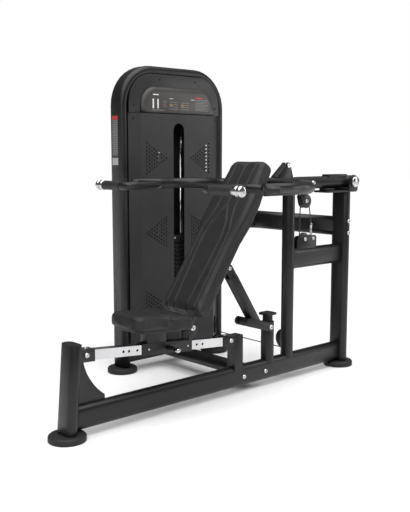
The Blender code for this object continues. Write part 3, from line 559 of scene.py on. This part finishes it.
stackHoleShade("liftedHoles", 0.6525, 10, "stack_body")
stackHoleShade("restingHoles", 0.4047, 9, "frame")
dot = turnedMesh(at(stackMarks["x"], stackMarks["front"], 0.6640), (0, -1, 0),
                 ((0, 0), (0.004, 0), (0.004, 0.0004), (0, 0.0004)), 14)
toPiece("stackDot", dot, "printWhite", "stack_body")


# cables that change length on the machine, rebuilt as fixed tubes along their routes

print("cables")
cableShape = dict(radius=0.0028, faces=10)
armPulley = dict(x=1.378, z=0.869, path=0.030)
studLine = dict(x=1.430, base=0.7000, top=0.7595)
crossbarLine = dict(x=1.342, base=0.6445, top=0.6830)
stackLine = dict(x=1.063, y=0.650, base=0.7155, top=1.3705)


def straightRun(start, end, parts):
    return [at(*start).lerp(at(*end), k / parts) for k in range(parts + 1)]


def cablePiece(name, route):
    return toPiece(name, tubeMesh(route, cableShape["radius"], cableShape["faces"]), "coatedCable", None, 60)


route = [at(studLine["x"], 0, studLine["base"])]
route += straightRun((studLine["x"], 0, studLine["top"]), (armPulley["x"] + armPulley["path"], 0, armPulley["z"]), 12)
route += [at(armPulley["x"] + armPulley["path"] * math.cos(math.radians(a)), 0,
             armPulley["z"] + armPulley["path"] * math.sin(math.radians(a))) for a in range(10, 180, 10)]
route += straightRun((armPulley["x"] - armPulley["path"], 0, armPulley["z"]),
                     (crossbarLine["x"], 0, crossbarLine["top"]), 16)
route += [at(crossbarLine["x"], 0, crossbarLine["base"])]
armCable = cablePiece("armCable", route)
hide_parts("cable_arm")
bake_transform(armCable)
route = straightRun((stackLine["x"], stackLine["y"], stackLine["base"]),
                    (stackLine["x"], stackLine["y"], stackLine["top"]), 60)
stackCable = cablePiece("stackCable", route)
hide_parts("cable_stack")
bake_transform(stackCable)

studThread = dict(count=22, pitch=0.0018, crest=0.0058, root=0.0050, first=0.7020)
threads = [(0.0, 0.6938), (0.0085, 0.6938), (0.0085, 0.7010), (studThread["crest"], 0.7016)]
for k in range(studThread["count"]):
    turnZ = studThread["first"] + studThread["pitch"] * k
    threads += [(studThread["crest"], turnZ), (studThread["root"], turnZ + studThread["pitch"] / 2)]
threads += [(0.0056, 0.7425), (0.0056, 0.7560), (0.0044, 0.7590), (0.0, 0.7590)]
stud = turnedMesh(at(studLine["x"], 0, 0), (0, 0, 1), threads, 16)
toPiece("cableStud", stud, "polishedChrome", "frame", 40)
grommet = ((0.0030, 0.0), (0.0085, 0.0), (0.0080, 0.0020), (0.0060, 0.0032), (0.0030, 0.0032))
toPiece("crossbarGrommet", turnedMesh(at(crossbarLine["x"], 0, 0.6425), (0, 0, 1), grommet, 18), "footRubber", "frame")


# pads

print("pads")
padCloth = dict(voxel=0.0053, pressure=4.0, frames=20, quality=4)
padSeam = dict(depth=0.0030, seatDepth=0.0026, width=0.0034, topOnly=-0.030, smoothing=9)


def swollen(node, shrink, cap, isBase):
    # the CAD block is remeshed and blown up a little as cloth with its base held; smoothed() smooths it afterwards
    helper = helperObject(node + "Soft", mergedMesh(node))
    mesh = helper.data
    low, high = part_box(node)
    centre = (Vector(low) + Vector(high)) / 2
    for vertex in mesh.vertices:
        vertex.co = centre + (vertex.co - centre) * shrink
    remesh = helper.modifiers.new("even", "REMESH")
    remesh.mode = "VOXEL"
    remesh.voxel_size = padCloth["voxel"]
    mesh = settled(helper)
    start = [vertex.co.copy() for vertex in mesh.vertices]
    helper = helperObject(node + "Cloth", mesh)
    group = helper.vertex_groups.new(name="held")
    group.add([i for i, co in enumerate(start) if isBase(co)], 1.0, "REPLACE")
    cloth = helper.modifiers.new("cloth", "CLOTH")
    cloth.settings.use_pressure = True
    cloth.settings.uniform_pressure_force = padCloth["pressure"]
    cloth.settings.effector_weights.gravity = 0
    cloth.settings.vertex_group_mass = "held"
    cloth.settings.quality = padCloth["quality"]
    cloth.point_cache.frame_start = 1
    cloth.point_cache.frame_end = padCloth["frames"]
    for step in range(1, padCloth["frames"] + 1):
        scene.frame_set(step)
    mesh = settled(helper)
    scene.frame_set(1)
    for vertex, old in zip(mesh.vertices, start):
        move = vertex.co - old
        if move.length > cap:
            vertex.co = old + move.normalized() * cap
    return mesh


def smoothed(mesh):
    helper = helperObject("smoothWork", mesh)
    smooth = helper.modifiers.new("smooth", "SMOOTH")
    smooth.factor = 0.5
    smooth.iterations = padSeam["smoothing"]
    finer = helper.modifiers.new("finer", "SUBSURF")
    finer.levels = finer.render_levels = 1
    return settled(helper)


def distanceTo(line, u, v):
    best = 1.0
    for (a, b), (c, d) in zip(line, line[1:]):
        length = (c - a) ** 2 + (d - b) ** 2
        t = max(0.0, min(1.0, ((u - a) * (c - a) + (v - b) * (d - b)) / length))
        best = min(best, math.hypot(u - a - (c - a) * t, v - b - (d - b) * t))
    return best


def pressSeams(mesh, flatPlace, lines, depth):
    normals = [vertex.normal.copy() for vertex in mesh.vertices]
    for vertex, normal in zip(mesh.vertices, normals):
        u, v, w = flatPlace(vertex.co)
        if w < padSeam["topOnly"]:
            continue
        near = min(distanceTo(line, u, v) for line in lines)
        if near < padSeam["width"] * 3:
            vertex.co -= normal * depth * math.exp(-(near / padSeam["width"]) ** 2)
    mesh.update()


def seamStitches(name, mesh, lines, toSpace, outward, body, pitch=0.0065, offset=0.0036):
    tree = BVHTree.FromPolygons([v.co.copy() for v in mesh.vertices], [tuple(p.vertices) for p in mesh.polygons])
    marks = []
    for line in lines:
        for (a, b), (c, d) in zip(line, line[1:]):
            length = math.hypot(c - a, d - b)
            way = Vector((c - a, d - b)) / length
            for k in range(max(1, int(length / pitch))):
                u = a + way.x * pitch * (k + 0.5) - way.y * offset
                v = b + way.y * pitch * (k + 0.5) + way.x * offset
                hit = tree.ray_cast(toSpace(u, v) + outward * 0.2, -outward)[0]
                later = tree.ray_cast(toSpace(u + way.x * 0.003, v + way.y * 0.003) + outward * 0.2, -outward)[0]
                if hit and later:
                    marks.append((hit + outward * 0.0001, (later - hit).normalized(), 1.0))
    stitch = turnedMesh(Vector((0, 0, 0)), (0, 0, 1), ((0, -0.0021), (0.0005, -0.0017), (0.0006, 0), (0.0005, 0.0017),
                                                       (0, 0.0021)), 6)
    return toPiece(name, placedMesh(stitch, marks, 1.0, "seamThread"), "seamThread", body, 60)


backFoot = at(0.581, 0, 0.460)


def backFlat(co):   # along the pad, across it, out of its face
    rel = co - backFoot
    return rel.dot(backAlong), rel.y, rel.dot(backOut)


backSeams = [[(0.735, 0.0), (0.507, 0.0)]]
for k in (1, -1):
    backSeams.append([(0.507, 0.0), (0.415, 0.043 * k), (0.336, 0.058 * k), (0.180, 0.050 * k), (0.0, 0.040 * k),
                      (-0.026, 0.038 * k)])
    backSeams.append([(0.738, 0.063 * k), (0.610, 0.058 * k), (0.485, 0.056 * k), (0.425, 0.070 * k),
                      (0.376, 0.087 * k), (0.180, 0.089 * k), (-0.026, 0.088 * k)])
padMesh = swollen("back_pad", 0.990, 0.006, lambda co: backFlat(co)[2] < -0.0535)
padMesh = smoothed(padMesh)
pressSeams(padMesh, backFlat, backSeams, padSeam["depth"])
backPad = toPiece("backPad", padMesh, "padVinyl", "back_body", 180)
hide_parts("back_pad")
seamStitches("backStitches", padMesh, backSeams, lambda u, v: backFoot + backAlong * u + Vector((0, v, 0)),
             backOut, "back_body")

padSlope = Vector((1, 0, -0.0875)).normalized()
padUp = Vector((0.0875, 0, 1)).normalized()
seatCorner = at(0.266, 0, 0.4555)


def seatFlat(co):
    rel = co - seatCorner
    return rel.dot(padSlope), rel.y, rel.dot(padUp)


seatSeams = [[(0.164, -0.108), (0.164, 0.108)]]
padMesh = swollen("seat_pad", 0.986, 0.005, lambda co: seatFlat(co)[2] < -0.0505)
padMesh = smoothed(padMesh)
pressSeams(padMesh, seatFlat, seatSeams, padSeam["seatDepth"])
seatPad = toPiece("seatPad", padMesh, "padVinyl", "seat_body", 180)
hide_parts("seat_pad")
seamStitches("seatStitches", padMesh, seatSeams, lambda u, v: seatCorner + padSlope * u + Vector((0, v, 0)),
             padUp, "seat_body")


# floor, light and camera

print("studio")
floorMesh = bpy.data.meshes.new("floor")
floorSide, floorDrop = 30, -0.001
floorMesh.from_pydata([(x * floorSide, y * floorSide, floorDrop) for x, y in ((-1, -1), (1, -1), (1, 1), (-1, 1))],
                      [], [(0, 1, 2, 3)])
floor = helperObject("floor", floorMesh)
floorMesh.materials.append(finish["studioFloor"])

world = bpy.data.worlds.new("studio")
scene.world = world
world.use_nodes = True
scene.view_settings.view_transform = "Standard"
worldLight = 0.17   # what the pieces get from it, under a white backdrop
dim = world.node_tree.nodes["Background"]
dim.inputs["Color"].default_value = (1.0, 1.0, 1.0, 1)
dim.inputs["Strength"].default_value = worldLight
backdrop = addNode(world.node_tree, "ShaderNodeBackground")
backdrop.inputs["Color"].default_value = (1.0, 1.0, 1.0, 1)
seen = addNode(world.node_tree, "ShaderNodeLightPath")
either = addNode(world.node_tree, "ShaderNodeMixShader")
for source, target in ((seen.outputs["Is Camera Ray"], either.inputs[0]), (dim.outputs[0], either.inputs[1]),
                       (backdrop.outputs[0], either.inputs[2]),
                       (either.outputs[0], world.node_tree.nodes["World Output"].inputs["Surface"])):
    world.node_tree.links.new(source, target)


def softBox(name, place, target, size, power):
    light = bpy.data.lights.new(name, "AREA")
    light.shape = "RECTANGLE"
    light.size, light.size_y = size
    light.energy = power
    lamp = bpy.data.objects.new(name, light)
    scene.collection.objects.link(lamp)
    lamp.location = place
    lamp.rotation_euler = (Vector(target) - Vector(place)).to_track_quat("-Z", "Y").to_euler()


softBox("keyLight", (-2.4, -2.2, 2.8), (0, 0, 0.6), (1.6, 2.2), 32)
softBox("topLight", (0.4, 0.2, 3.6), (0, 0, 0.5), (3.0, 3.0), 16)
softBox("sideLight", (3.0, -1.8, 1.8), (0, 0, 0.7), (1.2, 2.0), 22)
broadSun = dict(energy=3.5, spread=80, lean=(14, -10))
broad = bpy.data.lights.new("broadLight", "SUN")
broad.energy = broadSun["energy"]
broad.angle = math.radians(broadSun["spread"])
broadLamp = bpy.data.objects.new("broadLight", broad)
scene.collection.objects.link(broadLamp)
broadLamp.rotation_euler = (math.radians(broadSun["lean"][0]), math.radians(broadSun["lean"][1]), 0)

view = dict(place=(-2.410, -2.643, 1.0914), turn=42.36, tip=7.61, lens=55.33, shift=(0.0014, 0.0083))
cameraData = bpy.data.cameras.new("camera")
cameraData.lens = view["lens"]
cameraData.shift_x, cameraData.shift_y = view["shift"]
camera = bpy.data.objects.new("camera", cameraData)
scene.collection.objects.link(camera)
camera.location = view["place"]
camera.rotation_euler = (math.radians(90 - view["tip"]), 0, -math.radians(view["turn"]))
scene.camera = camera
